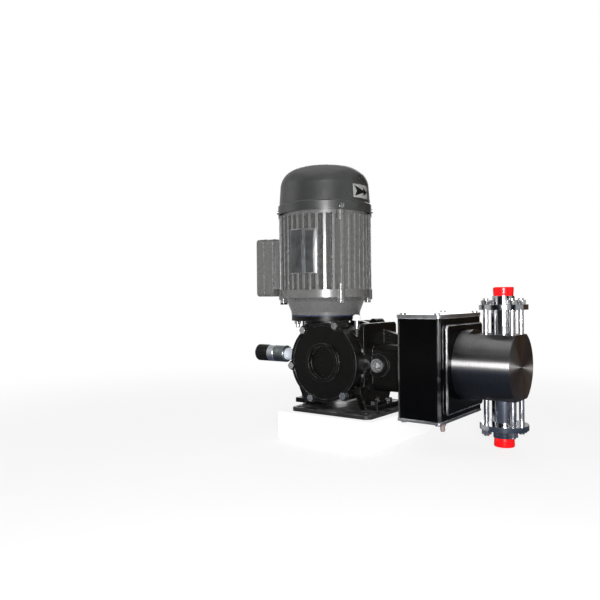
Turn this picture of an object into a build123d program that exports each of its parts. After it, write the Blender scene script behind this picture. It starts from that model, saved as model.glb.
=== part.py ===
"""Piston metering pump: vertical finned motor, worm gearbox with an eccentric, stroke setting knob,
guard box and a turned stainless pump head with ball valves above and below.

Frame: origin at the centre of the base's bolt pattern on the underside of the base plate, +X along the
plunger towards the pump head, +Z up along the motor. Millimetres. The stroke is set to zero at rest.
"""
import os
from math import acos, cos, degrees, pi, radians, sin, sqrt, tan

from build123d import *

# Base plate and pedestal
plate_length = 115.6
plate_width = 128.0
plate_thick = 5.0
plate_corner_r = 9.0
foot_hole_r = 4.5
foot_hole_edge_x = 10.0
foot_hole_edge_y = 10.0
leg_thick = 8.0
leg_front_x = 33.5
leg_foot_near = -30.5
leg_foot_far = 22.0
leg_top_near = -43.0
leg_top_far = 34.0
leg_waist_z = 26.0
foot_pad_length = 16.0
foot_pad_thick = 6.0

# Plunger line, gear set and eccentric
plunger_y = 18.0
plunger_z = 62.5
motor_x = -46.5
gear_module = 2.0
wheel_teeth = 24
worm_pitch_r = 10.0
pressure_angle = 20.0
backlash = 0.36
worm_length = 34.0
wheel_width = 12.0
hub_r = 13.0
hub_width = 18.0
collar_r = 11.0
collar_neck_r = 6.9
wheel_shaft_r = 6.0
eccentric_throw = 7.6
eccentric_r = 14.6
eccentric_width = 7.6
window_gap = 0.6
frame_bar = 4.6
crosshead_width = 8.0
crosshead_rod_r = 9.0

# Gear housing
drum_r = 47.0
drum_wall = 4.4
drum_half_width = 48.0
cover_r = 48.8
cover_thick = 8.0
cover_ring_r = 23.7
cover_ring_wall = 4.0
cover_ring_height = 3.0
cover_lug_r = 6.2
cover_lug_circle = 49.0
cover_lug_angles = (67.5, 127.5, 187.5, 247.5, 307.5)
cover_boss_r = 21.0
worm_chamber_r = 14.2
worm_chamber_outer_r = 19.5
worm_chamber_floor = 31.0
neck_r = 31.0
neck_flange_thick = 6.0
neck_flange_z = 118.4
snout_near = -14.0
snout_far = 47.0
snout_bottom = 26.0
snout_top = 84.0
snout_wall = 5.0
snout_round = 9.0
sight_x = 43.0
sight_z = 58.5
sight_boss_r = 14.5
sight_face = -18.0
sight_ring_r = 8.5
sight_lens_r = 6.5
flange_thick = 6.0
flange_near = -34.0
flange_top = 110.0
web_thick = 7.0
web_top_box = 86.0
web_start_x = 12.3
web_rise = 2.1
knob_boss_r = 13.0
knob_boss_end = -72.0
breather_y = -26.0
breather_reach = 31.0
breather_boss_rise = 4.5
drain_y = -24.0
drain_drop = 30.0
stud_angles = (45, 135, 225, 315)
screw_clearance_r = 5.4

# Bearings and seals
wheel_bearing_r = 16.0
bearing_width = 10.0
worm_bearing_r = 13.0
motor_bearing_r = 16.0
bearing_width_small = 9.0
seal_r = 13.0
seal_width = 7.0
running_gap = 0.05
fit_gap = 0.02

# Motor
gasket_thick = 1.5
motor_flange_r = 45.2
flange_bolt_circle = 37.5
flange_bolt_r = 2.5
stud_tail_rear = 9.0
stud_tail_front = 5.6
shield_ring_r = 60.0
shield_ring_z = 141.5
shield_rise = 11.1
motor_frame_top = 248.0
frame_tube_r = 50.0
frame_bore_r = 45.5
fin_envelope_r = 61.0
fin_pitch = 8.6
fin_count = 9
fin_thick = 3.2
motor_shaft_r = 6.0
worm_shaft_r = 5.5
rotor_r = 31.5
air_gap = 0.4
core_z = 168.0
core_length = 62.0
winding_length = 11.0
cowl_r = 62.0
cowl_rim_z = 252.0
cowl_top_z = 314.0
cowl_band = 11.0
cowl_wall = 2.0
cowl_dome_r = 26.4
cowl_slot_count = 18
lug_angle = 35.0
lug_circle = 56.0
lug_r = 6.0
tie_bolt_r = 2.5

# Terminal box
terminal_reach = 91.0
terminal_lid_thick = 14.0
terminal_half_width = 35.0
terminal_bottom = 145.0
terminal_top = 222.0
terminal_wall = 3.0
gland_r = 6.5

# Stroke setting
neck_tube_r = 8.5
stop_pin_r = 4.0
stop_bore_gap = 0.05
sleeve_r = 12.0
sleeve_front = -126.0
sleeve_length = 19.0
ring_length = 11.7
knob_length = 23.1
knob_r = 12.0
knob_end_wall = 7.0
pin_split = -100.0

# Guard box
box_rear = 82.7
box_front = 136.1
box_half_width = 59.5
box_bottom = 1.8
box_top = 118.1
box_wall = 3.0
box_round = 3.0
top_plate_thick = 4.0
bottom_plate_thick = 2.4
front_plate_thick = 5.5
front_plate_inset = 7.5

# Pump head and valves
head_length = 65.0
head_r = 41.5
head_flat = 36.5
head_round_length = 12.0
plunger_r = 11.0
packing_r = 17.0
packing_depth = 18.0
gland_flange_r = 26.0
valve_x = 186.5
valve_r = 13.4
valve_neck_r = 12.0
valve_column = 28.0
valve_neck = 15.5
valve_bore_r = 4.5
ball_r = 6.0
ball_lift = 4.0
chamber_r = 7.6
seat_r = 10.0
seat_thick = 5.0
clamp_r = 26.8
clamp_thick = 5.8
tie_circle = 21.0
tie_r = 3.0
tie_nut_flats = 10.0
tie_nut_thick = 5.0
tie_depth = 10.0
cap_r = 11.4
cap_base_r = 10.8
cap_length = 10.0
cap_stem_r = 7.5

# Spring
spring_coils = 4
spring_wire = 2.6
spring_mean_r = 13.6

# Places worked out from the sizes above
wheel_pitch_r = gear_module * wheel_teeth / 2
wheel_x = motor_x + worm_pitch_r + wheel_pitch_r
addendum = gear_module
dedendum = 1.25 * gear_module
worm_tip_r = worm_pitch_r + addendum
worm_root_r = worm_pitch_r - dedendum
axial_pitch = pi * gear_module
swing_r = eccentric_r + eccentric_throw
window_half = swing_r + window_gap
window_front = wheel_x + swing_r
crosshead_front = window_front + frame_bar + 3.0
crosshead_rear = wheel_x - window_half - frame_bar
rear_pad_x = crosshead_rear + 0.8
drum_bore = drum_r - drum_wall
shield_top = shield_ring_z + shield_rise
motor_frame_z = shield_top
gasket_bottom = neck_flange_z
shield_bottom = gasket_bottom + gasket_thick
neck_flange_bottom = neck_flange_z - neck_flange_thick
head_rear = box_front + front_plate_thick
head_front = head_rear + head_length
cover_face = drum_half_width + cover_thick
stroke = 2 * eccentric_throw - 0.2
plunger_rear = box_rear + stroke + 5.0
snout_bore = spring_mean_r + spring_wire / 2 + 1.4
neck_stem_r = neck_tube_r - 1.0
breather_x = wheel_x + breather_reach
breather_seat_z = plunger_z + sqrt(drum_r ** 2 - breather_reach ** 2) + breather_boss_rise
drain_x = leg_front_x
drain_z = plunger_z - drain_drop
plunger_front = head_front - 18.0


def rod_x(radius, x0, x1, y=plunger_y, z=plunger_z):
    """Round bar along X from x0 to x1."""
    return Pos((x0 + x1) / 2, y, z) * Rot(0, 90, 0) * Cylinder(radius, abs(x1 - x0))


def rod_y(radius, y0, y1, x=None, z=plunger_z):
    """Round bar along Y from y0 to y1."""
    x = wheel_x if x is None else x
    return Pos(x, (y0 + y1) / 2, z) * Rot(90, 0, 0) * Cylinder(radius, abs(y1 - y0))


def rod_z(radius, z0, z1, x=motor_x, y=0.0):
    """Round bar along Z from z0 to z1."""
    return Pos(x, y, (z0 + z1) / 2) * Cylinder(radius, abs(z1 - z0))


def block(x0, x1, y0, y1, z0, z1):
    """Box between two corners."""
    return Pos((x0 + x1) / 2, (y0 + y1) / 2, (z0 + z1) / 2) * Box(x1 - x0, y1 - y0, z1 - z0)


def hex_z(flats, z0, z1, x, y):
    """Hexagonal bar along Z."""
    face = RegularPolygon(flats / 2, 6, major_radius=False)
    return Pos(x, y, z0) * extrude(face, z1 - z0)


def hex_y(flats, y0, y1, x, z):
    """Hexagonal bar along Y."""
    face = RegularPolygon(flats / 2, 6, major_radius=False)
    return Pos(x, y1, z) * Rot(90, 0, 0) * extrude(face, y1 - y0)


def hex_x(flats, x0, x1, y, z):
    """Hexagonal bar along X."""
    face = RegularPolygon(flats / 2, 6, major_radius=False)
    return Pos(x0, y, z) * Rot(0, 90, 0) * extrude(face, x1 - x0)


def turned_z(profile, x=motor_x, y=0.0):
    """Solid of revolution about a vertical axis from (radius, z) points."""
    line = Polyline(*[(r, 0, z) for r, z in profile], close=True)
    return Pos(x, y, 0) * revolve(make_face(line), Axis.Z)


def turned_x(profile, y=plunger_y, z=plunger_z):
    """Solid of revolution about the plunger line from (x, radius) points."""
    line = Polyline(*[(x, 0, r) for x, r in profile], close=True)
    return Pos(0, y, z) * revolve(make_face(line), Axis.X)


def joined(parts):
    """One solid from a list."""
    total = parts[0]
    for part in parts[1:]:
        total = total + part
    return total


def save(shape, name):
    export_step(shape if isinstance(shape, Compound) else Compound(children=[shape]), f"parts/{name}.step")


def save_group(solids, name):
    export_step(Compound(children=list(solids)), f"parts/{name}.step")


def around(angles, radius, x=motor_x, y=0.0):
    """Points on a circle about a vertical axis."""
    return [(x + radius * cos(radians(a)), y + radius * sin(radians(a))) for a in angles]


def foot_points():
    """Corner holes of the base plate."""
    dx = plate_length / 2 - foot_hole_edge_x
    dy = plate_width / 2 - foot_hole_edge_y
    return [(sx * dx, sy * dy) for sx in (-1, 1) for sy in (-1, 1)]


def leg_face_xs():
    """Rear faces of the two pedestal legs."""
    front = leg_front_x - leg_thick
    return (2 * wheel_x - leg_front_x, front)


def pad_points():
    """Places of the screws that hold the pedestal to the plate."""
    rear, front = leg_face_xs()
    xs = (rear - foot_pad_length / 2 + 1, front + leg_thick + foot_pad_length / 2 - 1)
    ys = (leg_foot_near + 8, leg_foot_far - 8)
    return [(x, y) for x in xs for y in ys]


def base_plate():
    plate = Pos(0, 0, plate_thick / 2) * Box(plate_length, plate_width, plate_thick)
    plate = fillet(plate.edges().filter_by(Axis.Z), plate_corner_r)
    plate = chamfer(plate.faces().sort_by(Axis.Z)[-1].edges(), 1.0)
    for x, y in foot_points():
        plate -= rod_z(foot_hole_r, -1, plate_thick + 1, x, y)
    for x, y in pad_points():
        plate -= rod_z(2.5, -1, plate_thick + 1, x, y)
    return plate


def pedestal():
    """Two tapered legs with foot pads."""
    parts = []
    for x in leg_face_xs():
        outline = [(leg_foot_near, plate_thick), (leg_foot_far, plate_thick), (leg_top_far, leg_waist_z),
                   (leg_top_far, leg_waist_z + 8), (leg_top_near, leg_waist_z + 8), (leg_top_near, leg_waist_z)]
        face = make_face(Polyline(*[(x, y, z) for y, z in outline], close=True))
        parts.append(extrude(face, leg_thick, dir=(1, 0, 0)))
    rear, front = leg_face_xs()
    for x0, x1 in ((rear - foot_pad_length, rear + 2), (front + leg_thick - 2, front + leg_thick + foot_pad_length)):
        pad = block(x0, x1, leg_foot_near, leg_foot_far, plate_thick, plate_thick + foot_pad_thick)
        parts.append(pad)
    legs = joined(parts)
    for x, y in pad_points():
        legs -= rod_z(3.0, plate_thick - 1, plate_thick + foot_pad_thick + 1, x, y)
    return legs


def gear_housing():
    """Cast housing: drum, worm chamber, motor neck, snout, knob boss and pedestal."""
    body = rod_y(drum_r, -drum_half_width, drum_half_width)
    for angle in cover_lug_angles:
        a = radians(angle)
        x = wheel_x + cover_lug_circle * cos(a)
        z = plunger_z + cover_lug_circle * sin(a)
        for side in (-1, 1):
            body += rod_y(cover_lug_r, side * drum_half_width, side * (drum_half_width - 14), x, z)
    body += rod_z(worm_chamber_outer_r, worm_chamber_floor - 4, neck_flange_bottom)
    body += rod_z(neck_r, plunger_z + 22, neck_flange_bottom)
    body += rod_z(motor_flange_r, neck_flange_bottom, neck_flange_z)
    body += rod_x(knob_boss_r, knob_boss_end, wheel_x)
    body += rod_z(7.5, breather_seat_z - 22, breather_seat_z, breather_x, breather_y)
    # snout towards the guard box, its bolting flange and the web on top
    snout = block(wheel_x, box_rear, snout_near, snout_far, snout_bottom, snout_top)
    snout = fillet(snout.edges().filter_by(Axis.X), snout_round)
    body += snout
    flange = block(leg_front_x - flange_thick, leg_front_x, flange_near, snout_far, snout_bottom, flange_top)
    body += fillet(flange.edges().filter_by(Axis.X), 6)
    body += rod_y(sight_boss_r, sight_face, snout_near + 1, sight_x, sight_z)
    web_z = plunger_z + drum_r + web_rise
    web = Polyline((wheel_x, 0, web_z), (wheel_x + web_start_x, 0, web_z),
                   (box_rear, 0, web_top_box), (box_rear, 0, snout_top - 6), (wheel_x, 0, snout_top - 6), close=True)
    body += Pos(0, plunger_y + web_thick / 2, 0) * extrude(make_face(web), web_thick, dir=(0, -1, 0))
    body += pedestal()
    # the covers seat on the drum's faces, so nothing of the casting stands where they are
    for side in (-1, 1):
        body -= rod_y(cover_r, side * drum_half_width, side * (cover_face + cover_ring_height))
    # hollow inside
    body -= rod_y(drum_bore, -drum_half_width - 1, drum_half_width + 1)
    body -= rod_z(worm_chamber_r, worm_chamber_floor + bearing_width_small, neck_flange_bottom - 20)
    body -= rod_z(worm_bearing_r, worm_chamber_floor, worm_chamber_floor + bearing_width_small + 1)
    body -= rod_z(seal_r, neck_flange_bottom - 12 - seal_width, neck_flange_bottom - 12)
    body -= rod_z(worm_shaft_r + 1.5, neck_flange_bottom - 30, neck_flange_z + 1)
    body -= rod_z(28.0, neck_flange_bottom - 4, neck_flange_z + 1)
    body -= rod_x(snout_bore, wheel_x, box_rear - snout_wall)
    body -= rod_x(crosshead_rod_r + running_gap, wheel_x, box_rear + 1)
    body -= rod_x(neck_stem_r, knob_boss_end - 1, wheel_x)
    for x, y in around(stud_angles, flange_bolt_circle):
        body -= rod_z(flange_bolt_r + 0.2, neck_flange_bottom - 2, neck_flange_z + 1, x, y)
        body -= rod_z(screw_clearance_r, neck_flange_bottom - stud_tail_front - 0.2, neck_flange_bottom, x, y)
    body -= rod_y(sight_lens_r + 0.5, sight_face - 1, sight_face + 3, sight_x, sight_z)
    body -= rod_z(3.0, plunger_z + 15, breather_seat_z + 1, breather_x, breather_y)
    body -= rod_x(5.0, wheel_x, drain_x + 1, drain_y, drain_z)
    for angle in cover_lug_angles:
        a = radians(angle)
        x = wheel_x + cover_lug_circle * cos(a)
        z = plunger_z + cover_lug_circle * sin(a)
        for side in (-1, 1):
            body -= rod_y(2.5, side * (drum_half_width + 1), side * (drum_half_width - 10), x, z)
    return body


def side_cover(side):
    """Round side cover with a raised ring outside and a bearing boss inside; side is -1 near, 1 far."""
    inner = side * drum_half_width
    outer = side * cover_face
    cover = rod_y(cover_r, inner, outer)
    for angle in cover_lug_angles:
        a = radians(angle)
        x = wheel_x + cover_lug_circle * cos(a)
        z = plunger_z + cover_lug_circle * sin(a)
        cover += rod_y(cover_lug_r, inner, side * (cover_face - 2), x, z)
    cover = cover - rod_y(cover_r - 3.5, outer, side * (cover_face - 1.2))
    cover += rod_y(cover_ring_r, outer, outer + side * cover_ring_height)
    cover += rod_y(cover_ring_r, outer, side * (cover_face - 2))
    cover -= rod_y(cover_ring_r - cover_ring_wall, outer + side * 4, side * (cover_face - 3))
    cover += rod_y(drum_bore - fit_gap, inner, inner - side * 3)
    cover += rod_y(cover_boss_r, inner, inner - side * (bearing_width + 2))
    cover -= rod_y(wheel_bearing_r, inner + side * 1, inner - side * (bearing_width + 3))
    for angle in cover_lug_angles:
        a = radians(angle)
        x = wheel_x + cover_lug_circle * cos(a)
        z = plunger_z + cover_lug_circle * sin(a)
        cover -= rod_y(3.0, side * (drum_half_width - 1), side * (cover_face + 1), x, z)
        cover -= rod_y(screw_clearance_r, side * (cover_face - 2), side * (cover_face + 1), x, z)
    return cover


def housing_screws():
    """Cover screws on both sides and the pedestal's screws."""
    out = []
    for angle in cover_lug_angles:
        a = radians(angle)
        x = wheel_x + cover_lug_circle * cos(a)
        z = plunger_z + cover_lug_circle * sin(a)
        face = cover_face - 2
        out.append(rod_y(2.5, -face, -(drum_half_width - 9), x, z) + hex_y(8.0, -face - 4, -face, x, z))
        out.append(rod_y(2.5, drum_half_width - 9, face, x, z) + hex_y(8.0, face, face + 4, x, z))
    for x, y in pad_points():
        top = plate_thick + foot_pad_thick
        out.append(rod_z(2.5, 0.5, top, x, y) + hex_z(8.0, top, top + 4, x, y))
    return out


def involute_point(base_r, radius, start):
    """Point of an involute at a radius, turned so that it leaves the base circle at angle start."""
    a = acos(base_r / radius)
    t = start + tan(a) - a
    return (radius * cos(t), radius * sin(t))


def worm_wheel():
    """Helical wheel in mesh with the worm, hub and bore."""
    alpha = radians(pressure_angle)
    base_r = wheel_pitch_r * cos(alpha)
    tip_r = wheel_pitch_r + addendum
    root_r = wheel_pitch_r - dedendum
    half = (pi / 2 - backlash / gear_module) / wheel_teeth
    lead_in = half + tan(alpha) - alpha
    flank_low = max(base_r, root_r) + 0.05
    lines = []
    pitch = 2 * pi / wheel_teeth
    for i in range(wheel_teeth):
        mid = pitch * (i + 0.5)
        rising = [involute_point(base_r, r, mid - lead_in) for r in (flank_low, wheel_pitch_r, tip_r)]
        falling = [(cos(2 * mid) * x + sin(2 * mid) * y, sin(2 * mid) * x - cos(2 * mid) * y) for x, y in rising]
        a0 = mid - lead_in
        foot = (root_r * cos(a0), root_r * sin(a0))
        next_foot_angle = mid + pitch - lead_in
        last_foot = (root_r * cos(mid + lead_in), root_r * sin(mid + lead_in))
        next_foot = (root_r * cos(next_foot_angle), root_r * sin(next_foot_angle))
        lines.append(Polyline(foot, *rising))
        lines.append(Line(rising[-1], falling[-1]))
        lines.append(Polyline(*reversed(falling), last_foot))
        lines.append(Line(last_foot, next_foot))
    face = make_face(lines).face()
    twist = degrees(wheel_width * (gear_module / (2 * worm_pitch_r)) / wheel_pitch_r)
    wheel = Solid.extrude_linear_with_rotation(face, (0, 0, 0), (0, 0, wheel_width), twist)
    wheel = Rot(0, 0, -twist / 2) * Pos(0, 0, -wheel_width / 2) * wheel
    wheel = wheel + Cylinder(hub_r, hub_width)
    for y0, y1 in ((-wheel_width, -wheel_width / 2 + 3), (wheel_width / 2 - 3, wheel_width)):
        ring = Pos(0, 0, (y0 + y1) / 2) * (Cylinder(root_r - 4, y1 - y0) - Cylinder(hub_r, y1 - y0))
        wheel = wheel - ring
    wheel -= Cylinder(wheel_shaft_r, hub_width + 2)
    return Pos(wheel_x, 0, plunger_z) * Rot(-90, 0, 0) * wheel


def worm():
    """Single-start right-hand worm, one crest facing the wheel at mid height."""
    depth = addendum + dedendum
    flank = depth * tan(radians(pressure_angle)) / axial_pitch * 2 * pi
    tip_axial = axial_pitch / 2 - 2 * addendum * tan(radians(pressure_angle)) - backlash / 2
    tip = tip_axial / axial_pitch * 2 * pi
    a_tip = tip / 2
    a_root = a_tip + flank

    def at(radius, angle):
        return (radius * cos(angle), radius * sin(angle))

    tip_line = [at(worm_tip_r, a_tip * k / 2) for k in range(-2, 3)]
    down = [at(worm_tip_r - depth * k / 4, a_tip + flank * k / 4) for k in range(1, 5)]
    root_line = [at(worm_root_r, a_root + (2 * pi - 2 * a_root) * k / 3) for k in range(1, 4)]
    up = [(x, -y) for x, y in reversed(down)][1:]
    face = make_face(Polyline(*tip_line, *down, *root_line, *up, close=True)).face()
    turns = worm_length / axial_pitch * 360
    body = Solid.extrude_linear_with_rotation(face, (0, 0, 0), (0, 0, worm_length), turns)
    body = Pos(0, 0, -worm_length / 2) * Rot(0, 0, -turns / 2) * body
    return Pos(motor_x, 0, plunger_z) * body


def wheel_shaft():
    half = drum_half_width - 2
    return rod_y(wheel_shaft_r, -half, half)


def eccentric():
    """Eccentric sheave, at rear dead centre at rest."""
    y0 = plunger_y - eccentric_width / 2
    y1 = plunger_y + eccentric_width / 2
    sheave = rod_y(eccentric_r, y0, y1, wheel_x - eccentric_throw)
    frame_face = plunger_y - crosshead_width / 2
    sheave += rod_y(collar_r, hub_width / 2, frame_face - 0.2)
    sheave += rod_y(collar_neck_r, frame_face - 1, y0 + 0.5)
    return sheave - rod_y(wheel_shaft_r, 0, y1 + 5)


def crosshead():
    """Slotted frame round the eccentric, with its rod towards the plunger."""
    y0 = plunger_y - crosshead_width / 2
    outer_h = window_half + frame_bar
    rear = rod_y(outer_h, y0, y0 + crosshead_width)
    rear = rear & block(rear_pad_x, wheel_x, y0 - 1, y0 + crosshead_width + 1, plunger_z - 60, plunger_z + 60)
    front = block(wheel_x, crosshead_front, y0, y0 + crosshead_width, plunger_z - outer_h, plunger_z + outer_h)
    body = rear + front
    hole = rod_y(window_half, y0 - 1, y0 + crosshead_width + 1)
    hole = hole & block(wheel_x - 60, wheel_x, y0 - 2, y0 + 20, plunger_z - 60, plunger_z + 60)
    hole += block(wheel_x, window_front, y0 - 1, y0 + crosshead_width + 1,
                  plunger_z - window_half, plunger_z + window_half)
    body = body - hole
    body += rod_x(crosshead_rod_r + 2, crosshead_front - 1, crosshead_front + 3)
    body += rod_x(crosshead_rod_r, crosshead_front, plunger_rear)
    body -= rod_x(5.0, plunger_rear - 14, plunger_rear + 1)
    return body


def plunger():
    body = turned_x([(plunger_rear - 13.9, 0), (plunger_rear - 13.9, 5.0), (plunger_rear, 5.0),
                     (plunger_rear, plunger_r + 3), (plunger_rear + 3, plunger_r + 3),
                     (plunger_rear + 3, plunger_r), (plunger_front - 1, plunger_r),
                     (plunger_front, plunger_r - 1), (plunger_front, 0)])
    return body


def return_spring():
    """Flat-wire spring between the snout's end wall and the crosshead."""
    x0 = crosshead_front + 0.1
    x1 = box_rear - snout_wall - 0.1
    length = x1 - x0
    lead = (length - spring_wire) / spring_coils
    path = Helix(lead, length - spring_wire, spring_mean_r)
    coil = sweep(Plane(origin=path @ 0, z_dir=path % 0, x_dir=(1, 0, 0)) * Rectangle(spring_wire, spring_wire),
                 path, is_frenet=True)
    return Pos(x0 + spring_wire / 2, plunger_y, plunger_z) * Rot(0, 90, 0) * coil


def bearing(radius, bore, axis, place, width):
    """Bearing ring with a groove on both faces."""
    ring = Cylinder(radius, width) - Cylinder(bore, width + 1)
    mid = (radius + bore) / 2
    for z in (-width / 2, width / 2):
        ring -= Pos(0, 0, z) * (Cylinder(mid + 1.6, 2.0) - Cylinder(mid - 1.6, 2.0))
    turn = {"x": Rot(0, 90, 0), "y": Rot(90, 0, 0), "z": Rot(0, 0, 0)}[axis]
    return Pos(*place) * turn * ring


def ball_bearings():
    half = drum_half_width - bearing_width / 2 - 2
    shaft = wheel_shaft_r + running_gap
    worm_z = worm_chamber_floor + bearing_width_small / 2
    low = shield_bottom + 10 + bearing_width / 2
    high = motor_frame_top + 3 + bearing_width / 2
    return [
        bearing(wheel_bearing_r, shaft, "y", (wheel_x, -half, plunger_z), bearing_width),
        bearing(wheel_bearing_r, shaft, "y", (wheel_x, half, plunger_z), bearing_width),
        bearing(worm_bearing_r, worm_shaft_r + running_gap, "z", (motor_x, 0, worm_z), bearing_width_small),
        bearing(motor_bearing_r, motor_shaft_r + running_gap, "z", (motor_x, 0, low), bearing_width),
        bearing(motor_bearing_r, motor_shaft_r + running_gap, "z", (motor_x, 0, high), bearing_width),
    ]


def oil_seals():
    z1 = neck_flange_bottom - 12
    seal = rod_z(seal_r, z1 - seal_width, z1) - rod_z(worm_shaft_r + running_gap, z1 - 20, z1 + 5)
    return [seal]


def motor_gasket():
    ring = rod_z(motor_flange_r, gasket_bottom, shield_bottom)
    ring -= rod_z(30.1, gasket_bottom - 1, shield_bottom + 1)
    for x, y in around(stud_angles, flange_bolt_circle):
        ring -= rod_z(flange_bolt_r + 0.2, gasket_bottom - 1, shield_bottom + 1, x, y)
    return ring


def flange_studs():
    """Studs that hold the motor, each with its nut under the neck flange."""
    out = []
    for x, y in around(stud_angles, flange_bolt_circle):
        low = neck_flange_bottom
        tail = stud_tail_rear if x < motor_x else stud_tail_front
        stud = rod_z(flange_bolt_r, low - tail, shield_bottom + 8, x, y)
        out.append(stud + hex_z(8.0, low - 4.5, low, x, y))
    return out


def lug_points():
    angles = (lug_angle, 180 - lug_angle, 180 + lug_angle, 360 - lug_angle)
    return around(angles, lug_circle)


def lower_end_shield():
    """Flanged end shield with a taper to the ring under the fins."""
    body = turned_z([(0, shield_bottom - 2.5), (28, shield_bottom - 2.5), (28, shield_bottom),
                     (motor_flange_r, shield_bottom), (motor_flange_r + 0.5, shield_bottom + 4),
                     (51.0, shield_ring_z - 4), (shield_ring_r - 5, shield_ring_z),
                     (shield_ring_r, shield_ring_z + 1), (shield_ring_r, shield_top), (0, shield_top)])
    for x, y in lug_points():
        body += rod_z(lug_r, shield_ring_z - 2, shield_top, x, y)
    cavity = turned_z([(0, shield_bottom + 22), (motor_bearing_r + 6, shield_bottom + 22),
                       (frame_bore_r, shield_top - 4), (frame_bore_r, shield_top + 1), (0, shield_top + 1)])
    body -= cavity
    body -= rod_z(motor_bearing_r, shield_bottom + 10, shield_top)
    body -= rod_z(worm_shaft_r + 3, shield_bottom - 5, shield_top)
    for x, y in around(stud_angles, flange_bolt_circle):
        body -= rod_z(flange_bolt_r, shield_bottom - 1, shield_bottom + 9, x, y)
    for x, y in lug_points():
        body -= rod_z(tie_bolt_r, shield_ring_z - 3, shield_top + 1, x, y)
        body -= rod_z(screw_clearance_r, shield_ring_z - 12, shield_ring_z - 2, x, y)
    return body


def motor_frame():
    """Extruded frame with groups of parallel fins on four sides."""
    height = motor_frame_top - motor_frame_z
    offsets = [(k - (fin_count - 1) / 2) * fin_pitch for k in range(fin_count)]
    section = Circle(frame_tube_r).face()
    for side in range(4):
        for offset in offsets:
            near = max(abs(offset), 20.0)
            bar = Pos((near + fin_envelope_r) / 2, offset) * Rectangle(fin_envelope_r - near + 8, fin_thick)
            section = section + Rot(0, 0, 90 * side) * bar
        corner = Pos(fin_envelope_r - 8, 0) * Rectangle(20, fin_thick)
        section = section + Rot(0, 0, 90 * side + 45) * corner
    section = section & Circle(fin_envelope_r)
    section = section - Circle(frame_bore_r)
    frame = Pos(motor_x, 0, motor_frame_z) * extrude(section, height)
    for x, y in lug_points():
        frame += rod_z(lug_r - 1, motor_frame_z, motor_frame_z + 8, x, y)
        frame += rod_z(lug_r - 1, motor_frame_top - 8, motor_frame_top, x, y)
    pad = block(motor_x - fin_envelope_r - 1, motor_x - frame_bore_r - 1, -terminal_half_width + 4,
                terminal_half_width - 4, max(terminal_bottom, motor_frame_z) + 1.4, terminal_top - 2)
    frame += pad
    for x, y in lug_points():
        frame -= rod_z(tie_bolt_r + 0.2, motor_frame_z - 1, motor_frame_top + 1, x, y)
    return frame


def stator_core():
    r0 = rotor_r + air_gap
    core = rod_z(frame_bore_r, core_z, core_z + core_length) - rod_z(r0, core_z - 1, core_z + core_length + 1)
    return core


def stator_windings():
    out = []
    for z0 in (core_z - winding_length, core_z + core_length):
        ring = rod_z(frame_bore_r - 3, z0, z0 + winding_length) - rod_z(rotor_r + 3, z0 - 1, z0 + winding_length + 1)
        out.append(ring)
    return out


def upper_end_shield():
    top = motor_frame_top + 7
    body = rod_z(fin_envelope_r - 4, motor_frame_top, top)
    body += rod_z(motor_bearing_r + 5, top - 1, top + 8)
    for x, y in lug_points():
        body += rod_z(lug_r, motor_frame_top, motor_frame_top + 3.8, x, y)
    body -= rod_z(frame_bore_r - 3, motor_frame_top - 1, motor_frame_top + 3)
    body -= rod_z(motor_bearing_r, motor_frame_top + 3, motor_frame_top + 3 + bearing_width)
    body -= rod_z(motor_shaft_r + 1, motor_frame_top, top + 9)
    for x, y in lug_points():
        body -= rod_z(tie_bolt_r + 0.2, motor_frame_top - 1, top + 1, x, y)
    return body


def motor_tie_bolts():
    out = []
    for x, y in lug_points():
        head = shield_ring_z - 2
        bolt = rod_z(tie_bolt_r, head, motor_frame_top + 3, x, y)
        out.append(bolt + hex_z(8.0, head - 4, head, x, y))
    return out


def fan_cowl():
    """Domed fan cowl, a band at the rim and air slots on top."""
    side = cowl_r - 3.2
    mid_r = side - cowl_dome_r
    mid_z = cowl_top_z - 1.6 - cowl_dome_r * cos(radians(2.6))

    def dome(radius, angle):
        return (mid_r + radius * cos(radians(angle)), 0, mid_z + radius * sin(radians(angle)))

    band_top = cowl_rim_z + cowl_band
    lines = [
        Polyline((0, 0, cowl_rim_z), (cowl_r, 0, cowl_rim_z), (cowl_r, 0, band_top), (cowl_r - 1.6, 0, band_top + 1.5),
                 dome(cowl_dome_r, 0)),
        ThreePointArc(dome(cowl_dome_r, 0), dome(cowl_dome_r, 45), dome(cowl_dome_r, 87.4)),
        Polyline(dome(cowl_dome_r, 87.4), (0, 0, cowl_top_z), (0, 0, cowl_rim_z)),
    ]
    shell = revolve(make_face(lines), Axis.Z)
    inner_r = cowl_dome_r - cowl_wall
    inner = [(0, 0, cowl_rim_z - 1), (cowl_r - cowl_wall, 0, cowl_rim_z - 1), (cowl_r - cowl_wall, 0, band_top - 2),
             dome(inner_r, 0), dome(inner_r, 30), dome(inner_r, 60), dome(inner_r, 87.4), (0, 0, cowl_top_z - cowl_wall)]
    shell -= revolve(make_face(Polyline(*inner, close=True)), Axis.Z)
    slot = Pos(24, 0, cowl_top_z) * Box(16, 3.0, 20)
    for k in range(cowl_slot_count):
        shell -= Rot(0, 0, 360 / cowl_slot_count * k) * slot
    for angle in (lug_angle, 180 - lug_angle, 180 + lug_angle, 360 - lug_angle):
        hole = Pos(cowl_r, 0, cowl_rim_z + 4.5) * Rot(0, 90, 0) * Cylinder(1.6, 12)
        shell -= Rot(0, 0, angle) * hole
    return Pos(motor_x, 0, 0) * shell


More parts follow.
